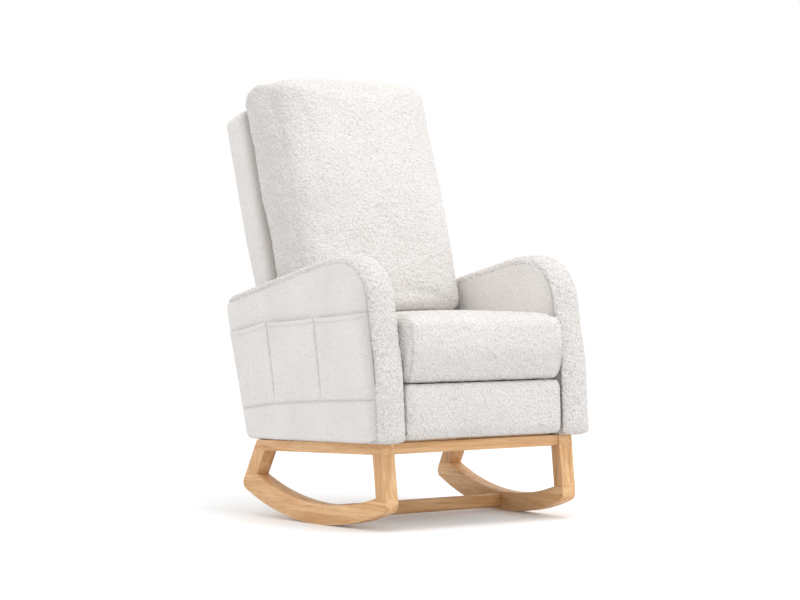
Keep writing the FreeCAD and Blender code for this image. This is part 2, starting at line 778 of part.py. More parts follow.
fixed_hole = pin_radius + fixed_fit
running_hole = pin_radius + running_fit
swing_link = drilled(bar_plate((pivot_a, pivot_c), link_half_width, *layer[2]),
                     [(pivot_a, running_hole), (pivot_m, fixed_hole), (pivot_c, fixed_hole)], layer[2])
cross_link = drilled(bar_plate((pivot_b, pivot_d), link_half_width, *layer[1]),
                     [(pivot_b, fixed_hole), (pivot_m, running_hole), (pivot_d, fixed_hole)], layer[1])
tie_link = drilled(bar_plate((pivot_d, pivot_n), link_half_width, *layer[2]),
                   [(pivot_d, running_hole), (pivot_n, pin_radius + open_fit)], layer[2])
carry_link = drilled(bar_plate((pivot_c, pivot_e), link_half_width, *layer[3]),
                     [(pivot_c, running_hole), (pivot_n, fixed_hole), (pivot_e, fixed_hole)], layer[3])

# Slotted plates that carry the scissor links on the seat rails
slot_top = link_pivot_z - link_length * math.cos(math.radians(link_open_angle))
slot_rear = slot_plate_front + slot_plate_width
slot_plate = side_prism(
    [(slot_plate_front, slot_plate_bottom), (slot_rear, slot_plate_bottom), (slot_rear, rail_low),
     (slot_plate_shoulder, rail_low), (slot_plate_shoulder, deck_bottom), (slot_plate_front, deck_bottom)],
    [plate_corner, plate_corner, 0, plate_corner, plate_corner, plate_corner], *layer[0])
slot_half = pin_radius + slot_fit
slot_plate = slot_plate.cut(bar_plate((pivot_b, (link_pivot_y, slot_top)), slot_half, *layer[0]))
slot_plate = drilled(slot_plate, [(pivot_a, fixed_hole)], layer[0])

pin_a = pin(*pivot_a, layer[2][0] + axial_play, layer[0][1], layer[2][1] + axial_play, layer[0][0],
            head_in=False, head_out=False)
pin_m = pin(*pivot_m, layer[2][0], layer[1][1] + axial_play, layer[2][1], layer[1][0] - axial_play)
pin_c = pin(*pivot_c, layer[3][0] - axial_play, layer[2][1], layer[3][1] + axial_play, layer[2][0])
pin_d = pin(*pivot_d, layer[2][0] - axial_play, layer[1][1], layer[2][1] + axial_play, layer[1][0])
pin_b = pin(*pivot_b, layer[1][0], layer[0][1] - axial_play, layer[1][1], layer[0][0] - axial_play,
            head_out=False)
pin_n = pin(*pivot_n, layer[3][0], layer[2][1] + axial_play, layer[3][1], layer[2][0] - axial_play)
pin_e = pin(*pivot_e, layer[4][0] - axial_play, layer[3][1], layer[4][1] + axial_play, layer[3][0])

bar_half = layer[2][0]
swing_bar = rod(swing_bar_radius, -bar_half, bar_half, *pivot_a)

# The cross members of the seat are notched round the plates
nodes["seat_rear_rail"] = [cut_all(rear_member, both_sides(hinge_plate))]
nodes["seat_front_angle"] = [cut_all(front_angle.removeSplitter(), both_sides(slot_plate))]
nodes["slot_plates"] = both_sides(slot_plate)
nodes["slot_plate_pins"] = both_sides(pin_a)
nodes["swing_links"] = both_sides(swing_link)
nodes["swing_bar"] = [swing_bar]
nodes["swing_link_pins"] = both_sides(pin_m) + both_sides(pin_c)
nodes["cross_links"] = both_sides(cross_link)
nodes["cross_link_pins"] = both_sides(pin_b) + both_sides(pin_d)
nodes["tie_links"] = both_sides(tie_link)
nodes["carry_links"] = both_sides(carry_link)
nodes["carry_link_pins"] = both_sides(pin_n) + both_sides(pin_e)

# Footrest panel: a board with brackets, and the crowned pad over it
footrest_half_width = arm_inner - footrest_side_gap


def footrest_profile(x, inset):
    share = crown_share(x, footrest_half_width * 1.1)
    front = footrest_front + inset
    low = footrest_bottom + inset
    top = footrest_top - inset
    corner = footrest_corner
    rear = footrest_rear - inset * 0.2
    corners = [(front, low), (rear, low), (rear, top), (front, top),
               (front - footrest_crown * share - 0.5, (low + top) / 2)]
    rounds = [corner, corner * 0.5, corner * 0.5, corner, footrest_top]
    return rounded_wire(corners, rounds, lambda a, b: Vector(x, a, b))


board_half = footrest_half_width - board_margin
board = box(-board_half, board_half, footrest_rear - board_thickness, footrest_rear,
            footrest_bottom + board_margin, footrest_top - board_margin)
pad = cushion(footrest_profile, soft_stations(footrest_half_width, footrest_edge)).cut(board)
bracket_top = pivot_e[1] + link_half_width
web = side_prism(
    [(footrest_rear, bracket_top - bracket_drop), (footrest_rear + plate, bracket_top - bracket_drop),
     (pivot_e[0] + link_half_width, pivot_e[1] - link_half_width),
     (pivot_e[0] + link_half_width, bracket_top),
     (footrest_rear, bracket_top)],
    [0, 0, bracket_corner, bracket_corner, 0], *layer[4])
flange = box(layer[4][0] - bracket_flange, layer[4][1], footrest_rear, footrest_rear + plate,
             bracket_top - bracket_drop, bracket_top)
bracket = drilled(web.fuse(flange).removeSplitter(), [(pivot_e, running_hole)], layer[4])
nodes["footrest_brackets"] = both_sides(bracket)
nodes["footrest_bar"] = [rod(footrest_bar_radius, -layer[4][0], layer[4][0],
                             footrest_rear + plate + footrest_bar_radius, pivot_e[1] - footrest_bar_drop)]
nodes["footrest_board"] = [board]
nodes["footrest_pad"] = [pad]

# Stance: lean the level chair back about the runners' arc centre and set it on the floor
arc_centre = Vector(0, runner_middle, runner_centre_z)


def leaned(shape):
    shape = shape.copy()
    shape.rotate(arc_centre, Vector(1, 0, 0), -rest_lean)
    return shape


lowest = leaned(side_frame["runner"]).optimalBoundingBox(False, False).ZMin
onto_floor = Vector(0, -runner_middle, -lowest)


def stance(point):
    turned = FreeCAD.Rotation(Vector(1, 0, 0), -rest_lean).multVec(Vector(*point) - arc_centre)
    return turned + arc_centre + onto_floor


def stand(shape):
    shape = leaned(shape)
    shape.translate(onto_floor)
    return shape


everything = None
for name, shapes in nodes.items():
    solids = [solid for s in shapes for solid in stand(s).Solids]
    whole = solids[0] if len(solids) == 1 else Part.makeCompound(solids)
    if not whole.isValid():
        print("not valid:", name)
    whole.exportStep("parts/" + name + ".step")
    bounds = whole.BoundBox
    if everything is None:
        everything = FreeCAD.BoundBox(bounds)
    else:
        everything.add(bounds)
    volume = sum(s.Volume for s in solids)
    middle = sum((s.CenterOfMass * s.Volume for s in solids), Vector()) * (1.0 / volume)
    print("%-20s %2d solids %11.0f mm3  centre %7.1f %7.1f %7.1f" % (
        name, len(solids), volume, middle.x, middle.y, middle.z))
print("bounds", everything)
for name, y, z in (("back", back_pivot_y, back_pivot_z), ("A", *pivot_a), ("M", *pivot_m), ("C", *pivot_c),
                   ("D", *pivot_d), ("N", *pivot_n), ("E", *pivot_e)):
    at = stance((0.0, y, z))
    print("pivot %-5s %9.5f %9.5f m" % (name, at.y / 1000, at.z / 1000))
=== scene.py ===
import math

import bmesh
import bpy
import numpy as np
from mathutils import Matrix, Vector


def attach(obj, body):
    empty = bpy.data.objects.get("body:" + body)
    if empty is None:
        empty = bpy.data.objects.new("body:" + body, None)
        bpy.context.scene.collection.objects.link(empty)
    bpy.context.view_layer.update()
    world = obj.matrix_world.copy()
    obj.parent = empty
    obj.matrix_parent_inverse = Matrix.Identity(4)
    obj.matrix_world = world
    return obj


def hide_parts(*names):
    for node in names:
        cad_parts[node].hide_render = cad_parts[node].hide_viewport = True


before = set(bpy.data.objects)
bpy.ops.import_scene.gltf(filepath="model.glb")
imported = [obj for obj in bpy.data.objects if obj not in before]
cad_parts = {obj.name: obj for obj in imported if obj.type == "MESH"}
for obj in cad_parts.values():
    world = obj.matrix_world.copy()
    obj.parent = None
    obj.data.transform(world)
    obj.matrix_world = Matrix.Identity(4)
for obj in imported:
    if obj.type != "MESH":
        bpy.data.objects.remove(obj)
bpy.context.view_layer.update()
scene = bpy.context.scene

# The chair stands leaned back by this angle about its runners' arc centre. Places below are given in
# millimetres as if it stood level: front faces -Y, Y = 0 at the top front corner of the base.
LEAN = math.radians(1.87)
ARC_Y, ARC_Z, RADIUS = 219.98, 686.7, 680.0
ARM_INNER, ARM_OUTER, BASE_TOP = 236.0, 316.0, 203.0
RIGHT, LEFT = -1, 1
ALONG_X, ALONG_Y, ALONG_Z = 0, 1, 2


def level(co):
    """World points in metres to the level chair in millimetres."""
    dy, dz = co[:, 1] * 1000, co[:, 2] * 1000 - RADIUS
    return np.stack([co[:, 0] * 1000,
                     dy * math.cos(LEAN) - dz * math.sin(LEAN) + ARC_Y,
                     dy * math.sin(LEAN) + dz * math.cos(LEAN) + ARC_Z], axis=1)


def unlevel(p):
    """Points of the level chair in millimetres to world points in metres."""
    dy, dz = p[:, 1] - ARC_Y, p[:, 2] - ARC_Z
    return np.stack([p[:, 0],
                     dy * math.cos(LEAN) + dz * math.sin(LEAN),
                     -dy * math.sin(LEAN) + dz * math.cos(LEAN) + RADIUS], axis=1) / 1000


# Shapes of a value along a line
def rising(value, start, run):
    """0 up to start, and 1 from start + run on."""
    return np.clip((value - start) / run, 0, 1)


def falling(value, end, run):
    """1 up to end - run, and 0 from end on."""
    return np.clip((end - value) / run, 0, 1)


def bell(distance, width):
    """1 at no distance, dying out over a few widths."""
    return np.exp(-(distance / width) ** 2)


# Mesh helpers
def new_object(name, mesh):
    obj = bpy.data.objects.new(name, mesh)
    scene.collection.objects.link(obj)
    return obj


def points(mesh):
    co = np.empty(len(mesh.vertices) * 3)
    mesh.vertices.foreach_get("co", co)
    return co.reshape(-1, 3)


def set_points(mesh, co):
    mesh.vertices.foreach_set("co", np.ascontiguousarray(co).ravel())
    mesh.update()


def normals(mesh):
    n = np.empty(len(mesh.vertices) * 3)
    mesh.vertices.foreach_get("normal", n)
    return n.reshape(-1, 3)


def bake(obj):
    """Applies every modifier of a piece."""
    shape = bpy.data.meshes.new_from_object(obj.evaluated_get(bpy.context.evaluated_depsgraph_get()))
    obj.modifiers.clear()
    obj.data = shape
    return obj


def hull(name, places):
    """The closed form that is stretched round some points."""
    bm = bmesh.new()
    for co in places:
        bm.verts.new(co)
    bmesh.ops.convex_hull(bm, input=bm.verts)
    bmesh.ops.delete(bm, geom=[v for v in bm.verts if not v.link_faces], context="VERTS")
    bmesh.ops.recalc_face_normals(bm, faces=bm.faces)
    mesh = bpy.data.meshes.new(name)
    bm.to_mesh(mesh)
    bm.free()
    return new_object(name, mesh)


def hull_piece(name, node):
    """The outer form of a soft CAD node, without its hollow."""
    return hull(name, [v.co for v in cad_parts[node].data.vertices])


def remesh(obj, voxel, relax=3):
    """An even mesh of the same form, with its edges relaxed a little."""
    mod = obj.modifiers.new("remesh", "REMESH")
    mod.mode = "VOXEL"
    mod.voxel_size = voxel
    soft = obj.modifiers.new("relax", "SMOOTH")
    soft.factor = 0.5
    soft.iterations = relax
    return bake(obj)


def subdivide(obj):
    mod = obj.modifiers.new("subdivision", "SUBSURF")
    mod.levels = mod.render_levels = 1
    return bake(obj)


CLOTH_FRAMES = 20
CLOTH = {"quality": 5, "mass": 0.3, "tension_stiffness": 12, "compression_stiffness": 12,
         "shear_stiffness": 6, "bending_stiffness": 0.6, "use_pressure": True}


def inflate(obj, cap, sink, pressure=4.0):
    """Blows a padded piece up as cloth: no point moves further than cap, or inwards by more than sink (m)."""
    before, out = points(obj.data), normals(obj.data)
    mod = obj.modifiers.new("cloth", "CLOTH")
    for key, value in CLOTH.items():
        setattr(mod.settings, key, value)
    mod.settings.uniform_pressure_force = pressure
    mod.settings.effector_weights.gravity = 0
    mod.collision_settings.use_collision = False
    mod.point_cache.frame_start = 1
    mod.point_cache.frame_end = CLOTH_FRAMES
    for f in range(1, CLOTH_FRAMES + 1):
        scene.frame_set(f)
    bake(obj)
    move = points(obj.data) - before
    length = np.linalg.norm(move, axis=1, keepdims=True)
    move = move * np.minimum(1.0, cap / np.maximum(length, 1e-9))
    inward = np.minimum(0.0, np.sum(move * out, axis=1) + sink)
    set_points(obj.data, before + move - out * inward[:, None])
    scene.frame_set(1)


HASH_X, HASH_Y, HASH_Z, HASH_SEED, HASH_MASK = 374761393, 668265263, 2147483647, 1274126177, 0xFFFFFF


def lattice(cell, seed):
    """A fixed value from -1 to 1 for each cell of a grid."""
    h = cell[:, 0] * HASH_X + cell[:, 1] * HASH_Y + cell[:, 2] * HASH_Z + seed * HASH_SEED
    h = (h ^ (h >> 13)) * HASH_SEED
    h = (h ^ (h >> 16)) & HASH_MASK
    return h / (HASH_MASK / 2) - 1.0


def noise(p, size, seed):
    """Smooth noise from -1 to 1 with bumps of about the given size."""
    q = p / size
    cell = np.floor(q).astype(np.int64)
    f = q - cell
    w = f * f * (3 - 2 * f)
    total = np.zeros(len(p))
    for i in range(8):
        step = np.array([i & 1, (i >> 1) & 1, (i >> 2) & 1])
        weight = np.prod(np.where(step == 1, w, 1 - w), axis=1)
        total += weight * lattice(cell + step, seed)
    return total


def push(obj, amount):
    """Moves every point along its normal by amount, in metres."""
    set_points(obj.data, points(obj.data) + normals(obj.data) * np.asarray(amount)[:, None])


CURL_COARSE, CURL_FINE, COARSE_SHARE = 0.0075, 0.0048, 0.6


def pile(obj, height, seed, keep=1.0):
    """The curled pile of the fabric as small bumps of the surface."""
    co = points(obj.data)
    bumps = COARSE_SHARE * noise(co, CURL_COARSE, seed) + (1 - COARSE_SHARE) * noise(co, CURL_FINE, seed + 1)
    push(obj, height * (bumps * keep))


def from_line(p, line):
    """Distance of each point from an open line of points."""
    best = np.full(len(p), np.inf)
    line = np.asarray(line, float)
    for a, b in zip(line[:-1], line[1:]):
        ab = b - a
        t = np.clip(((p - a) @ ab) / (ab @ ab), 0, 1)
        best = np.minimum(best, np.linalg.norm(p - (a + t[:, None] * ab), axis=1))
    return best


ARC_STEPS = 10


def rounded(corners, rounds):
    """Points of a closed outline with rounded corners, one arc for each corner."""
    out = []
    count = len(corners)
    for i in range(count):
        here, before, after = (np.array(corners[j % count], float) for j in (i, i - 1, i + 1))
        back = (before - here) / np.linalg.norm(before - here)
        on = (after - here) / np.linalg.norm(after - here)
        half = math.acos(max(-1.0, min(1.0, float(back @ on)))) / 2
        reach = rounds[i] / math.tan(half)
        bisector = (back + on) / np.linalg.norm(back + on)
        centre = here + bisector * rounds[i] / math.sin(half)
        a, b = here + back * reach - centre, here + on * reach - centre
        turn = math.atan2(a[0] * b[1] - a[1] * b[0], float(a @ b))
        for k in range(ARC_STEPS + 1):
            s = turn * k / ARC_STEPS
            out.append(centre + np.array([a[0] * math.cos(s) - a[1] * math.sin(s),
                                          a[0] * math.sin(s) + a[1] * math.cos(s)]))
    return np.array(out)


# Materials
WHITE = (1.0, 1.0, 1.0)


class Maker:
    """Short calls for the nodes of one material."""

    def __init__(self, name):
        self.material = bpy.data.materials.new(name)
        self.material.use_nodes = True
        self.tree = self.material.node_tree
        self.shader = self.tree.nodes["Principled BSDF"]
        self.place = self.tree.nodes.new("ShaderNodeTexCoord").outputs["Object"]

    def node(self, kind, **values):
        n = self.tree.nodes.new(kind)
        for key, value in values.items():
            if hasattr(n, key):
                setattr(n, key, value)
            else:
                n.inputs[key.replace("_", " ")].default_value = value
        return n

    def join(self, a, b):
        self.tree.links.new(a, b)

    def scaled(self, x, y, z):
        n = self.node("ShaderNodeMapping")
        n.inputs["Scale"].default_value = (x, y, z)
        self.join(self.place, n.inputs["Vector"])
        return n.outputs["Vector"]

    def noise(self, scale, detail=2.0, rough=0.5, where=None, distortion=0.0):
        n = self.node("ShaderNodeTexNoise", Scale=scale, Detail=detail, Roughness=rough,
                      Distortion=distortion)
        self.join(where or self.place, n.inputs["Vector"])
        return n.outputs["Fac"]

    def ramp(self, fac, stops):
        n = self.node("ShaderNodeValToRGB")
        ramp = n.color_ramp
        while len(ramp.elements) < len(stops):
            ramp.elements.new(0.5)
        for element, (pos, colour) in zip(ramp.elements, stops):
            element.position = pos
            element.color = (*colour, 1.0)
        self.join(fac, n.inputs["Fac"])
        return n.outputs["Color"]

    def multiply(self, a, b, share=1.0):
        n = self.node("ShaderNodeMix", data_type="RGBA", blend_type="MULTIPLY")
        n.inputs["Factor"].default_value = share
        self.join(a, n.inputs["A"])
        self.join(b, n.inputs["B"])
        return n.outputs["Result"]

    def math(self, kind, a, b):
        n = self.node("ShaderNodeMath", operation=kind)
        for value, socket in ((a, n.inputs[0]), (b, n.inputs[1])):
            if isinstance(value, (int, float)):
                socket.default_value = value
            else:
                self.join(value, socket)
        return n.outputs["Value"]

    def sum_of(self, a, a_share, b, b_share):
        return self.math("ADD", self.math("MULTIPLY", a, a_share), self.math("MULTIPLY", b, b_share))

    def bump(self, height, strength, distance):
        n = self.node("ShaderNodeBump", Strength=strength, Distance=distance)
        self.join(height, n.inputs["Height"])
        self.join(n.outputs["Normal"], self.shader.inputs["Normal"])

    def set(self, **values):
        for key, value in values.items():
            self.shader.inputs[key.replace("_", " ")].default_value = value
        return self.material


# The first colour is what painted shade reaches deep in seams, gaps and hollows; the second tints the
# fabric's broad random clouds.
SEAM_PAINTED_SHADE, CLOUD_SHADE = (0.50, 0.475, 0.455), (0.955, 0.95, 0.945)
FIBRE_SHARE, CURL_SHARE, CURL_WOBBLE, PILE_DEPTH = 0.35, 0.75, 0.006, 0.004


def pile_fabric(name, dark, light, curl, strength):
    """Warm white looped pile: curls of a few millimetres, with painted shade between them and painted shade
    in seams, gaps and hollows.
    """
    m = Maker(name)
    cells = m.node("ShaderNodeTexVoronoi", Scale=curl, feature="SMOOTH_F1", Smoothness=0.6)
    wobble = m.node("ShaderNodeMix", data_type="VECTOR")
    twist = m.node("ShaderNodeTexNoise", Scale=curl * 0.7, Detail=2.0)
    m.join(m.place, twist.inputs["Vector"])
    wobble.inputs["Factor"].default_value = CURL_WOBBLE
    m.join(m.place, wobble.inputs["A"])
    m.join(twist.outputs["Color"], wobble.inputs["B"])
    m.join(wobble.outputs["Result"], cells.inputs["Vector"])
    curls = cells.outputs["Distance"]
    fibres = m.noise(curl * 3.2, detail=3.0, rough=0.6)
    broad = m.noise(9.0, detail=2.0, rough=0.5)
    # Painted shade between the curls, mixed with the fibres' own random tone: the colour runs from the pale
    # one on the curls to the dark one between them.
    tint = m.ramp(m.sum_of(curls, CURL_SHARE, fibres, FIBRE_SHARE), [(0.25, light), (0.85, dark)])
    tint = m.multiply(tint, m.ramp(broad, [(0.3, CLOUD_SHADE), (0.7, WHITE)]))
    # The mesh's seam attribute carries painted shade, which darkens the colour in seams, gaps and hollows.
    depth = m.node("ShaderNodeAttribute", attribute_name="seam").outputs["Fac"]
    tint = m.multiply(tint, m.ramp(depth, [(0.0, WHITE), (1.0, SEAM_PAINTED_SHADE)]))
    m.join(tint, m.shader.inputs["Base Color"])
    m.bump(m.math("SUBTRACT", m.math("MULTIPLY", fibres, FIBRE_SHARE), curls), strength, PILE_DEPTH)
    return m.set(Roughness=0.95, Sheen_Weight=0.18, Sheen_Roughness=0.5, Specular_IOR_Level=0.15)


STREAK_SHADE, PORE_SHADE = (0.80, 0.76, 0.72), (0.62, 0.54, 0.46)
PATCH_DARK, PATCH_LIGHT = (0.90, 0.88, 0.86), (1.05, 1.04, 1.03)
STREAK_SHARE, PORE_SHARE = 0.55, 0.5


def grained_wood(name, along, tones, rough, line=1.0):
    """Open-grained timber with its growth lines and pores running along one axis (0, 1 or 2)."""
    m = Maker(name)

    def stretched(k, ratio):
        scale = [k, k, k]
        scale[along] = k * ratio
        return m.scaled(*scale)

    lines = m.noise(1.0, 3.0, 0.55, stretched(46.0, 0.045), 1.2)
    fine = m.noise(1.0, 2.0, 0.6, stretched(240.0, 0.03), 0.4)
    pores = m.noise(1.0, 1.0, 0.5, stretched(620.0, 0.022))
    broad = m.noise(1.0, 2.0, 0.5, stretched(9.0, 0.25))
    tint = m.ramp(lines, [(0.30, tones[0]), (0.48, tones[1]), (0.62, tones[2]), (0.75, tones[1])])
    tint = m.multiply(tint, m.ramp(fine, [(0.35, STREAK_SHADE), (0.6, WHITE)]), STREAK_SHARE * line)
    tint = m.multiply(tint, m.ramp(pores, [(0.30, PORE_SHADE), (0.40, WHITE)]), PORE_SHARE * line)
    tint = m.multiply(tint, m.ramp(broad, [(0.3, PATCH_DARK), (0.7, PATCH_LIGHT)]))
    m.join(tint, m.shader.inputs["Base Color"])
    m.join(m.math("ADD", m.math("MULTIPLY", fine, 0.2), rough - 0.1), m.shader.inputs["Roughness"])
    m.bump(m.sum_of(pores, 0.6, fine, 0.4), strength=0.12, distance=0.0006)
    return m.set(Specular_IOR_Level=0.35)


def coated_steel(name, dark, light, rough):
    """Painted steel with fine specks and faint clouds."""
    m = Maker(name)
    specks = m.noise(900.0, detail=2.0, rough=0.6)
    broad = m.noise(25.0, detail=3.0, rough=0.6)
    tint = m.ramp(m.sum_of(specks, 0.4, broad, 0.6), [(0.35, dark), (0.65, light)])
    m.join(tint, m.shader.inputs["Base Color"])
    m.join(m.math("ADD", m.math("MULTIPLY", broad, 0.2), rough), m.shader.inputs["Roughness"])
    m.bump(specks, strength=0.08, distance=0.0004)
    return m.set(Metallic=0.0, Specular_IOR_Level=0.5)


teddy = pile_fabric("teddy_pile", (0.71, 0.676, 0.65), (0.925, 0.896, 0.875),
                    curl=215.0, strength=0.9)
teddy_long = pile_fabric("teddy_pile_long", (0.67, 0.637, 0.612), (0.96, 0.93, 0.909),
                         curl=215.0, strength=1.0)
teddy_flat = pile_fabric("teddy_pile_flat", (0.80, 0.768, 0.744), (0.95, 0.921, 0.90),
                         curl=280.0, strength=0.5)
OAK = [(0.64, 0.35, 0.15), (0.79, 0.475, 0.235), (0.88, 0.575, 0.315)]
oak = [grained_wood("oak_along_" + "xyz"[i], i, OAK, rough=0.45) for i in range(3)]
RAW = [(0.50, 0.37, 0.23), (0.58, 0.45, 0.29), (0.64, 0.51, 0.35)]
timber = [grained_wood("timber_along_" + "xyz"[i], i, RAW, rough=0.7, line=0.6) for i in range(3)]
black_steel = coated_steel("black_steel", (0.012, 0.012, 0.013), (0.03, 0.03, 0.032), rough=0.35)
spring_steel = coated_steel("spring_steel", (0.10, 0.10, 0.10), (0.20, 0.195, 0.19), rough=0.3)


def wear(obj, material):
    obj.data.materials.clear()
    obj.data.materials.append(material)


def paint_shade(obj, depth):
    """Keeps, from 0 to 1, how much painted shade darkens the fabric at each point, in seams, gaps and
    hollows.
    """
    layer = obj.data.attributes.new("seam", "FLOAT", "POINT")
    layer.data.foreach_set("value", np.clip(depth, 0, 1).astype(np.float32))


def place(obj, body, material, nodes):
    """Dresses a soft piece, hangs it on its body and lets it stand for its CAD nodes."""
    obj.data.polygons.foreach_set("use_smooth", [True] * len(obj.data.polygons))
    wear(obj, material)
    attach(obj, body)
    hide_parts(*nodes)


# Arms: outline in Y and Z, with the radius of each corner
ARM_CORNERS = [(-43, 203), (531, 203), (626, 556), (160, 643), (4, 640), (-41, 370)]
ARM_ROUNDS = [16, 30, 40, 300, 115, 300]
ARM_MIDDLE, ARM_HALF = (ARM_INNER + ARM_OUTER) / 2, (ARM_OUTER - ARM_INNER) / 2
arm_line = rounded(ARM_CORNERS, ARM_ROUNDS)
arm_line = np.vstack([arm_line, arm_line[:1]])
# The band starts at the end of the third arc, the top rear corner, and runs over the top to the front foot.
band_line = arm_line[3 * (ARC_STEPS + 1) - 1:]
ARM_VOXEL, ARM_RELAX = 0.005, 2
BAND, BAND_THINNER, BAND_THINS_FROM, BAND_THINS_OVER = 22.0, 10, 60, 200
BASE_ROLL, FACES_BASE, FACES_BASE_OVER, ROLL_STEPS = 4, 0.95, 0.5, 18
PANEL_FROM, PANEL_RUN, PANEL_BULGE, BULGE_RUN = 0.85, 0.15, 1.5, 60
SEAM_FROM, SEAM_DEPTH, SEAM_WIDTH, SEAM_CLEAR_OF_BASE, OFF_SEAM = 0.8, 4.2, 3.6, 12, 99.0
SEAM_DIP, SEAM_DIP_REACH = 8.0, 30.0
SEAM_ENDS_Z, SEAM_ENDS_Y, SEAM_ENDS_OVER = 600, 240, 120
ARM_PILE, PANEL_PILE_SHARE = 0.0020, 0.3
# Painted shade along the band's seam, over the panel and the band beside it, and along the pockets' feet,
# with its widths and reaches in mm.
LINE_SHADE, LINE_WIDTH = 0.9, 2.8
PANEL_SHADE, PANEL_SHADE_REACH = 0.3, 22
BAND_SHADE, BAND_SHADE_REACH, BAND_SHADE_FROM = 0.15, 6, 0.6
POCKET_TOPS = np.array([(4, 506), (216, 497), (420, 490), (592, 466)], float)
POCKET_BOTTOMS = np.array([(-20, 304), (190, 300), (388, 292), (538, 279)], float)
POCKET_FOOT_SHADE, OUTER_SKIN = 0.4, 4


def seam_fade(y, z):
    """The band's seam is deep at the front of the arm and dies out below its top."""
    return falling(z, SEAM_ENDS_Z, SEAM_ENDS_OVER) * falling(y, SEAM_ENDS_Y, SEAM_ENDS_OVER)


def panel_dip(edge, y, z):
    """How far the arm's side panel sinks, in mm, at a distance from the arm's edge."""
    return seam_fade(y, z) * SEAM_DIP * bell(np.maximum(0, edge - BAND), SEAM_DIP_REACH)


def arm_form(side):
    """Points of an arm whose edge band is rounded across, except where it stands on the base."""
    out = []
    for i in range(len(arm_line) - 1):
        along = arm_line[i + 1] - arm_line[i - 1 if i else -2]
        inward = np.array([-along[1], along[0]]) / np.linalg.norm(along)
        roll = BAND - BAND_THINNER * rising(arm_line[i][0], BAND_THINS_FROM, BAND_THINS_OVER)
        depth = BASE_ROLL + (roll - BASE_ROLL) * falling(inward[1], FACES_BASE, FACES_BASE_OVER)
        for k in range(ROLL_STEPS + 1):
            turn = math.pi * (k / ROLL_STEPS - 0.5)
            spot = arm_line[i] + inward * depth * (1 - math.cos(turn))
            out.append((side * (ARM_MIDDLE + ARM_HALF * math.sin(turn)), *spot))
    return unlevel(np.array(out))


def arm_places(obj):
    """Level points of an arm, their distance from its edge, and how far out they lie from its middle."""
    p = level(points(obj.data))
    return p, from_line(p[:, 1:], band_line), np.abs(np.abs(p[:, 0]) - ARM_MIDDLE) / ARM_HALF


def arm(name, node, side, seed):
    """An arm: two flat panels, and a padded band round its edge that meets them at two seams."""
    obj = remesh(hull(name, arm_form(side)), ARM_VOXEL, ARM_RELAX)
    p, edge, across = arm_places(obj)
    push(obj, PANEL_BULGE * rising(across, PANEL_FROM, PANEL_RUN) * rising(edge, BAND, BULGE_RUN) / 1000)
    subdivide(obj)
    p, edge, across = arm_places(obj)
    y, z = p[:, 1], p[:, 2]
    panel = (across > PANEL_FROM) & (edge > BAND - 1)
    seamed = (across > SEAM_FROM) & (z >= BASE_TOP + SEAM_CLEAR_OF_BASE)
    seam = np.where(seamed, np.abs(edge - BAND), OFF_SEAM)
    fade = seam_fade(y, z)
    push(obj, (-fade * SEAM_DEPTH * bell(seam, SEAM_WIDTH) - panel_dip(edge, y, z) * panel) / 1000)
    pile(obj, ARM_PILE, seed, np.where(panel, PANEL_PILE_SHARE, 1.0))
    # Painted shade: dark along the band's seam, fading out over the panel and the band beside it, and on the
    # right arm along the pockets' feet.
    shade = LINE_SHADE * bell(seam, LINE_WIDTH)
    shade += PANEL_SHADE * panel * bell(np.maximum(0, edge - BAND), PANEL_SHADE_REACH)
    in_band = (across > BAND_SHADE_FROM) & (edge < BAND)
    shade += BAND_SHADE * in_band * bell(np.maximum(0, BAND - edge), BAND_SHADE_REACH)
    shade *= fade
    if side == RIGHT:
        foot = POCKET_FOOT_SHADE * bell(from_line(p[:, 1:], POCKET_BOTTOMS), LINE_WIDTH)
        shade = np.maximum(shade, (p[:, 0] < -ARM_OUTER + OUTER_SKIN) * foot)
    place(obj, "chair", teddy_long, [node])
    paint_shade(obj, shade)
    obj.data.materials.append(teddy_flat)
    mark = [int(panel[list(f.vertices)].all()) for f in obj.data.polygons]
    obj.data.polygons.foreach_set("material_index", mark)
    obj.data.update()


arm("right_arm_cover", "right_arm_pad", RIGHT, seed=11)
arm("left_arm_cover", "left_arm_pad", LEFT, seed=23)

# Seat cushion
SEAT_VOXEL, SEAT_SWELL, SEAT_SINK, SEAT_PILE = 0.006, 0.008, 0.001, 0.0016
SEAT_SIDE_GAP, SEAT_UNDERSIDE = 0.6, 339.2
END_SEAM, END_SEAM_REAR, END_SEAM_DEPTH, END_SEAM_WIDTH, END_SEAM_SHADE = 223.0, 60, 1.6, 4.0, 0.3


def seat():
    """The thick cushion between the arms, with a seam near each end of its front."""
    obj = remesh(hull_piece("seat_cushion_cover", "seat_cushion"), SEAT_VOXEL)
    inflate(obj, SEAT_SWELL, SEAT_SINK)
    p = level(points(obj.data))
    p[:, 0] = np.clip(p[:, 0], -ARM_INNER + SEAT_SIDE_GAP, ARM_INNER - SEAT_SIDE_GAP)
    p[:, 2] = np.maximum(p[:, 2], SEAT_UNDERSIDE)
    set_points(obj.data, unlevel(p))
    subdivide(obj)
    p = level(points(obj.data))
    from_seam = np.where(p[:, 1] < END_SEAM_REAR, np.abs(np.abs(p[:, 0]) - END_SEAM), OFF_SEAM)
    seam = bell(from_seam, END_SEAM_WIDTH)
    push(obj, -END_SEAM_DEPTH * seam / 1000)
    pile(obj, SEAT_PILE, seed=37)
    # Painted shade darkens the fabric in the seam near each end.
    paint_shade(obj, END_SEAM_SHADE * seam)
    place(obj, "chair", teddy, ["seat_cushion"])


seat()

# Back cushion and shell, in the back's own upright frame
HINGE_Y, HINGE_Z, BACK_LEAN = 466.0, 258.0, math.radians(15.5)


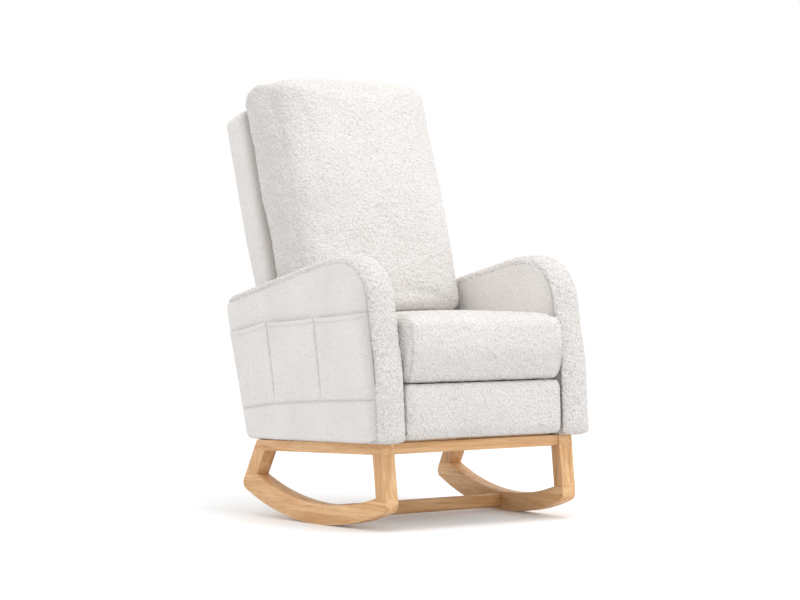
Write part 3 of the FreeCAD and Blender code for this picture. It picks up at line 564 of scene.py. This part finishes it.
def in_back(co):
    """World points to the upright back in mm: across, forward to rear, and up from its hinge."""
    p = level(co)
    y, z = p[:, 1] - HINGE_Y, p[:, 2] - HINGE_Z
    return np.stack([p[:, 0], y * math.cos(BACK_LEAN) - z * math.sin(BACK_LEAN),
                     y * math.sin(BACK_LEAN) + z * math.cos(BACK_LEAN)], axis=1)


def from_back(q):
    """The upright back's points in mm to world points in metres."""
    y = q[:, 1] * math.cos(BACK_LEAN) + q[:, 2] * math.sin(BACK_LEAN) + HINGE_Y
    z = q[:, 2] * math.cos(BACK_LEAN) - q[:, 1] * math.sin(BACK_LEAN) + HINGE_Z
    return unlevel(np.stack([q[:, 0], y, z], axis=1))


BACK_VOXEL, BACK_SWELL, BACK_SINK, BACK_PILE, CUSHION_HALF = 0.007, 0.007, 0.002, 0.0016, 228
END_FROM, END_RUN = 150, 78
ARCH, ARCH_AT, ARCH_REACH, ARCH_FROM, ARCH_RUN, ARCH_EASE = 30, -88, 62, 560, 240, 1.5
WIDER, WIDER_FROM, WIDER_RUN, WIDER_REAR_FROM, WIDER_REAR_RUN = 7, 430, 150, -150, 100
FRONT_ROUND, FRONT_BELLY, FRONT_FROM, FRONT_RUN = 6, 7, -60, 80
FOLD, FOLD_SIZE, WRINKLE, WRINKLE_SIZE = 0.0022, 0.10, 0.0012, 0.045


def back_cushion():
    """A plump cushion: its top arches over to both ends, its front is crowned, and it widens upwards."""
    obj = remesh(hull_piece("back_cushion_cover", "back_cushion"), BACK_VOXEL)
    q = in_back(points(obj.data))
    ends = rising(np.abs(q[:, 0]), END_FROM, END_RUN) ** 2
    arch = ARCH * bell(q[:, 1] - ARCH_AT, ARCH_REACH)
    wider = WIDER * rising(q[:, 2], WIDER_FROM, WIDER_RUN) * rising(q[:, 1], WIDER_REAR_FROM, WIDER_REAR_RUN)
    q[:, 2] += arch * ends * rising(q[:, 2], ARCH_FROM, ARCH_RUN) ** ARCH_EASE
    q[:, 0] *= 1 + wider / CUSHION_HALF
    across = np.minimum(1, np.abs(q[:, 0]) / CUSHION_HALF)
    crown = FRONT_ROUND * across ** 3 - FRONT_BELLY * (1 - across ** 2)
    q[:, 1] += crown * falling(q[:, 1], FRONT_FROM, FRONT_RUN)
    set_points(obj.data, from_back(q))
    inflate(obj, BACK_SWELL, BACK_SINK)
    subdivide(obj)
    co = points(obj.data)
    push(obj, FOLD * noise(co, FOLD_SIZE, seed=52) + WRINKLE * noise(co, WRINKLE_SIZE, seed=53))
    pile(obj, BACK_PILE, seed=51)
    place(obj, "back", teddy, ["back_cushion"])


back_cushion()

SHELL_VOXEL, SHELL_RELAX, SHELL_PILE, SHELL_HALF = 0.007, 2, 0.0011, 229
SHELL_FRONT, SHELL_DEPTH, SHELL_DEEPER, DEEPER_FROM, DEEPER_RUN = -35, 98, 11, 330, 150
SHELL_EDGE, SHELL_EDGE_REACH, SHELL_TOP_EDGE, TOP_EDGE_FROM, TOP_EDGE_RUN = 9, 16, 6, 700, 100
GAP_SHADE, GAP_SHADE_REACH = 0.9, 22


def back_shell():
    """The padded shell behind the cushion: its front edges turn in, and painted shade lies on it by the gap
    before it.
    """
    obj = remesh(hull_piece("back_shell_cover", "back_shell"), SHELL_VOXEL, SHELL_RELAX)
    q = in_back(points(obj.data))
    rear = rising(q[:, 1], SHELL_FRONT, SHELL_DEPTH)
    q[:, 1] += SHELL_DEEPER * rear * rising(q[:, 2], DEEPER_FROM, DEEPER_RUN)
    near_front = bell(q[:, 1] - SHELL_FRONT, SHELL_EDGE_REACH)
    q[:, 0] *= 1 - SHELL_EDGE / SHELL_HALF * near_front
    q[:, 2] -= SHELL_TOP_EDGE * near_front * rising(q[:, 2], TOP_EDGE_FROM, TOP_EDGE_RUN)
    set_points(obj.data, from_back(q))
    subdivide(obj)
    # Painted shade on the shell near its front edges, where the gap to the cushion is.
    paint_shade(obj, GAP_SHADE * bell(in_back(points(obj.data))[:, 1] - SHELL_FRONT, GAP_SHADE_REACH))
    pile(obj, SHELL_PILE, seed=67)
    place(obj, "back", teddy_flat, ["back_shell"])


back_shell()

# Footrest panel
FOOTREST_VOXEL, FOOTREST_RELAX, FOOTREST_PILE = 0.005, 2, 0.0013
FOOTREST_SWELL, FOOTREST_SINK, FOOTREST_PRESSURE = 0.004, 0.0005, 3.0
FOOTREST_MIDDLE, FOOTREST_HALF, FOOTREST_TALLER = 273.5, 60, 2.4


def footrest():
    """The padded panel under the seat, a little taller than its solid so that its gaps narrow."""
    obj = remesh(hull_piece("footrest_cover", "footrest_pad"), FOOTREST_VOXEL, FOOTREST_RELAX)
    p = level(points(obj.data))
    p[:, 2] += np.clip((p[:, 2] - FOOTREST_MIDDLE) / FOOTREST_HALF, -1, 1) * FOOTREST_TALLER
    set_points(obj.data, unlevel(p))
    inflate(obj, FOOTREST_SWELL, FOOTREST_SINK, FOOTREST_PRESSURE)
    subdivide(obj)
    pile(obj, FOOTREST_PILE, seed=83)
    place(obj, "footrest", teddy, ["footrest_pad"])


footrest()

# Pockets on the right arm
POCKETS, POCKET_COLS, POCKET_ROWS, CLOTH_THICK = 3, 84, 84, 3.0
ELSEWHERE = 9.0  # in pocket widths, for a column whose pocket has no such seam or end
MOUTH_SAG, STAND, STAND_OFF, STAND_RISES, STAND_AT_FOOT = 3.5, 4.6, 7.4, 6, 0.3
SEAM_PULL, POCKET_SEAM_WIDTH, END_PULL, END_PULL_WIDTH = 4.4, 4.0, 3.8, 10.0
FOOT_PULL, FOOT_PULL_WIDTH = 4.2, 4.0
HEM, HEM_THICK, HEM_STEP, HEM_ENDS, HEM_STITCH, STITCH_DEPTH = 12, 1.1, 2.5, 8, 12.5, 1.0
STAND_LEAST, BACK_LEAST = 0.8, 0.2
POCKET_PILE, BACK_PILE_SHARE = 0.0009, 0.2
# Painted shade in the sewn lines, along the front and over the hollow by it: its depth and its width in mm
SEAM_LINE, FOOT_LINE, HEM_LINE = (0.65, 2.4), (0.5, 2.6), (0.12, 2.5)
FRONT_LINE, FRONT_HOLLOW = (0.8, 3.0), (0.3, 24)


def pocket_grid():
    """Level points of the cloth's front and back, column by column from the foot up, and their painted shade.
    """
    pocket = np.append(np.repeat(np.arange(POCKETS), POCKET_COLS), POCKETS - 1)
    share = np.append(np.tile(np.arange(POCKET_COLS) / POCKET_COLS, POCKETS), 1.0)
    along = share[:, None]
    top = POCKET_TOPS[pocket] * (1 - along) + POCKET_TOPS[pocket + 1] * along
    low = POCKET_BOTTOMS[pocket] * (1 - along) + POCKET_BOTTOMS[pocket + 1] * along
    width = np.linalg.norm(POCKET_TOPS[pocket + 1] - POCKET_TOPS[pocket], axis=1)
    height = np.linalg.norm(top - low, axis=1)[:, None]
    first, last = pocket == 0, pocket == POCKETS - 1
    to_seam = np.minimum(np.where(first, ELSEWHERE, share), np.where(last, ELSEWHERE, 1 - share))
    to_end = np.minimum(np.where(first, share, ELSEWHERE), np.where(last, 1 - share, ELSEWHERE))
    from_seam, from_end = (to_seam * width)[:, None], (to_end * width)[:, None]
    from_front = ((pocket + share) * width)[:, None]
    sag = np.sin(np.pi * along)
    up = np.arange(POCKET_ROWS + 1) / POCKET_ROWS
    y, z = (low[:, k:k + 1] * (1 - up) + top[:, k:k + 1] * up for k in (0, 1))
    z = z - MOUTH_SAG * sag * up ** 3
    rise = up * height
    hem = height - rise
    stand = STAND + STAND_OFF * sag ** 0.5 * np.minimum(1, up * STAND_RISES) * (
        STAND_AT_FOOT + (1 - STAND_AT_FOOT) * up)
    stand = stand - SEAM_PULL * bell(from_seam, POCKET_SEAM_WIDTH) - END_PULL * bell(from_end, END_PULL_WIDTH)
    stand = stand - FOOT_PULL * bell(rise, FOOT_PULL_WIDTH)
    stand = stand + HEM_THICK * falling(hem, HEM, HEM_STEP) * np.minimum(1, from_end / HEM_ENDS)
    stand = np.maximum(STAND_LEAST, stand - STITCH_DEPTH * bell(hem - HEM_STITCH, HEM_STEP))
    edge = from_line(np.stack([y.ravel(), z.ravel()], axis=1), band_line).reshape(y.shape)
    skin = ARM_OUTER - panel_dip(edge, y, z)
    # Painted shade in the seams, along the foot, at the front, over the hollow by the front and at the hem's
    # stitching.
    shade = np.zeros(y.shape)
    for distance, (depth, reach) in ((from_seam, SEAM_LINE), (rise, FOOT_LINE), (from_front, FRONT_LINE),
                                     (from_front, FRONT_HOLLOW), (hem - HEM_STITCH, HEM_LINE)):
        shade = np.maximum(shade, depth * bell(distance, reach))
    front = np.stack([-(skin + stand), y, z], axis=2).reshape(-1, 3)
    back = np.stack([-(skin + np.maximum(BACK_LEAST, stand - CLOTH_THICK)), y, z], axis=2).reshape(-1, 3)
    return front, back, shade.ravel()


def pocket_faces(columns, half):
    """Faces of the cloth's front, back and edges; the back's points follow the front's, half on."""
    n = POCKET_ROWS + 1
    faces = []
    for c in range(columns - 1):
        for r in range(POCKET_ROWS):
            a, b = c * n + r, (c + 1) * n + r
            faces.append((a, b, b + 1, a + 1))
            faces.append((half + a, half + a + 1, half + b + 1, half + b))
        for r in (0, POCKET_ROWS):
            a, b = c * n + r, (c + 1) * n + r
            faces.append((a, half + a, half + b, b) if r == 0 else (a, b, half + b, half + a))
    for r in range(POCKET_ROWS):
        for c in (0, columns - 1):
            a = c * n + r
            faces.append((a, a + 1, half + a + 1, half + a) if c == 0 else (a, half + a, half + a + 1, a + 1))
    return faces


def pockets():
    """One strip of cloth sewn on in three pockets, standing off the arm at their open tops."""
    front, back, shade = pocket_grid()
    half = len(front)
    mesh = bpy.data.meshes.new("side_pocket_cloth")
    faces = pocket_faces(half // (POCKET_ROWS + 1), half)
    mesh.from_pydata([tuple(q) for q in unlevel(np.vstack([front, back]))], [], faces)
    bm = bmesh.new()
    bm.from_mesh(mesh)
    bmesh.ops.recalc_face_normals(bm, faces=bm.faces)
    bm.to_mesh(mesh)
    bm.free()
    obj = new_object("side_pocket_cloth", mesh)
    outside = np.arange(len(mesh.vertices)) < half
    pile(obj, POCKET_PILE, seed=97, keep=np.where(outside, 1.0, BACK_PILE_SHARE))
    place(obj, "chair", teddy_flat, ["side_pockets"])
    paint_shade(obj, np.append(shade, shade))


pockets()

# Wooden base
EASE, EASE_STEPS, WELD = 0.0018, 3, 0.00001
FLAT_ANGLE, EASE_ANGLE, SMOOTH_ANGLE = math.radians(0.4), math.radians(40), math.radians(35)


def dressed(node, grain):
    """A wooden CAD piece with its sharp edges eased."""
    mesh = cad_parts[node].data.copy()
    mesh.name = node + "_eased"
    bm = bmesh.new()
    bm.from_mesh(mesh)
    bmesh.ops.remove_doubles(bm, verts=bm.verts, dist=WELD)
    bmesh.ops.dissolve_limit(bm, angle_limit=FLAT_ANGLE, verts=bm.verts, edges=bm.edges)
    bm.to_mesh(mesh)
    bm.free()
    obj = new_object(node + "_eased", mesh)
    mod = obj.modifiers.new("ease", "BEVEL")
    mod.width = EASE
    mod.segments = EASE_STEPS
    mod.limit_method = "ANGLE"
    mod.angle_limit = EASE_ANGLE
    bake(obj)
    bm = bmesh.new()
    bm.from_mesh(obj.data)
    for f in bm.faces:
        f.smooth = True
    for e in bm.edges:
        e.smooth = e.calc_face_angle(0.0) < SMOOTH_ANGLE
    bm.to_mesh(obj.data)
    bm.free()
    wear(obj, oak[grain])
    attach(obj, "chair")
    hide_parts(node)


for side in ("left", "right"):
    dressed(side + "_top_rail", ALONG_Y)
    dressed(side + "_runner", ALONG_Y)
    dressed(side + "_front_leg", ALONG_Z)
    dressed(side + "_rear_leg", ALONG_Z)
for name in ("front_rail", "rear_rail", "stretcher"):
    dressed(name, ALONG_X)

# CAD pieces that keep their form
GRAIN = {"seat_side_rails": ALONG_Y, "seat_rear_rail": ALONG_X, "seat_deck": ALONG_X,
         "back_stiles": ALONG_Z, "back_rungs": ALONG_X, "footrest_board": ALONG_X,
         "left_arm_frame": ALONG_Y, "right_arm_frame": ALONG_Y}
for node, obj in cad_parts.items():
    if node == "frame_dowels":
        wear(obj, oak[ALONG_X])
    elif node in GRAIN:
        wear(obj, timber[GRAIN[node]])
    elif node == "seat_springs":
        wear(obj, spring_steel)
    elif not obj.hide_render:
        wear(obj, black_steel)

# Floor: paler to the eye than in the light that it throws back
FLOOR_SIZE, FLOOR_BOUNCE, FLOOR_SHOWN, FLOOR_GLOW = 14, 0.75, 0.93, 0.09
bpy.ops.mesh.primitive_plane_add(size=FLOOR_SIZE, location=(0, 0, 0))
floor = bpy.context.object
floor.name = "floor"
m = Maker("pale_floor")
m.set(Roughness=0.9, Specular_IOR_Level=0.0)
rays = m.node("ShaderNodeLightPath")
shown = m.math("MAXIMUM", rays.outputs["Is Camera Ray"], rays.outputs["Is Glossy Ray"])
tint = m.ramp(shown, [(0.0, (FLOOR_BOUNCE,) * 3), (1.0, (FLOOR_SHOWN,) * 3)])
m.join(tint, m.shader.inputs["Base Color"])
glow = m.node("ShaderNodeEmission", Color=(*WHITE, 1.0))
m.join(m.math("MULTIPLY", shown, FLOOR_GLOW), glow.inputs["Strength"])
both = m.node("ShaderNodeAddShader")
m.join(m.shader.outputs[0], both.inputs[0])
m.join(glow.outputs[0], both.inputs[1])
m.join(both.outputs[0], m.tree.nodes["Material Output"].inputs["Surface"])
floor.data.materials.append(m.material)

# Light
scene.world = bpy.data.worlds.new("studio")
scene.world.use_nodes = True
sky = scene.world.node_tree.nodes["Background"]
sky.inputs["Color"].default_value = (*WHITE, 1.0)
sky.inputs["Strength"].default_value = 1.0
LAMP_TARGET, LAMP_SIZE = (0, 0.1, 0.55), 1.8


def lamp(name, where, watts):
    """A round softbox that is aimed at the chair and doesn't show itself."""
    data = bpy.data.lights.new(name, "AREA")
    data.shape = "DISK"
    data.size = LAMP_SIZE
    data.energy = watts
    obj = new_object(name, data)
    obj.location = where
    obj.rotation_euler = (Vector(LAMP_TARGET) - Vector(where)).to_track_quat("-Z", "Y").to_euler()
    obj.visible_camera = False


lamp("top_softbox", (0.18, -0.92, 4.41), watts=52)
lamp("right_softbox", (3.50, -0.84, 2.24), watts=12)
lamp("front_softbox", (1.35, -3.60, 1.24), watts=12)

# Camera
camera = new_object("camera", bpy.data.cameras.new("camera"))
camera.location = (-3.4659, -4.6731, 0.5982)
camera.rotation_euler = (math.radians(89.33), 0, math.radians(-36.09))
camera.data.sensor_width = 36.0
camera.data.lens = 107.17
scene.camera = camera
scene.view_settings.view_transform = "Standard"
